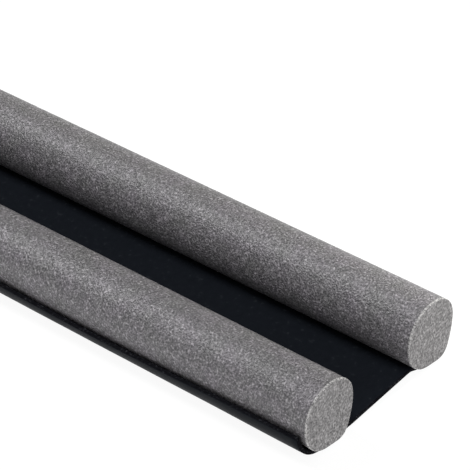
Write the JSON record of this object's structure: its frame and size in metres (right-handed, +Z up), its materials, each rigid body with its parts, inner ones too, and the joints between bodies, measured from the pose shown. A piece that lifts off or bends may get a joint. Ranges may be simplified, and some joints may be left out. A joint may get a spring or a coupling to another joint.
{
  "type": "draught excluder",
  "caption": "Long foam rolls joined by a black sheet that passes under a door and closes the gap at its foot on both sides.",
  "frame": {"origin": "bottom centre of the whole object, on the floor midway between the rolls", "axes": "+X along the rolls, +Y from the front roll to the rear roll through the door, +Z up"},
  "size_m": [0.9, 0.1194, 0.0397],
  "materials": {
    "foam": "bare closed-cell foam, matte, with a fine cell speckle",
    "coated_sheet": "black coated cloth with a soft sheen"
  },
  "bodies": {
    "root": {"front_roll": "foam", "rear_roll": "foam", "base_sheet": "coated_sheet"}
  },
  "joints": []
}
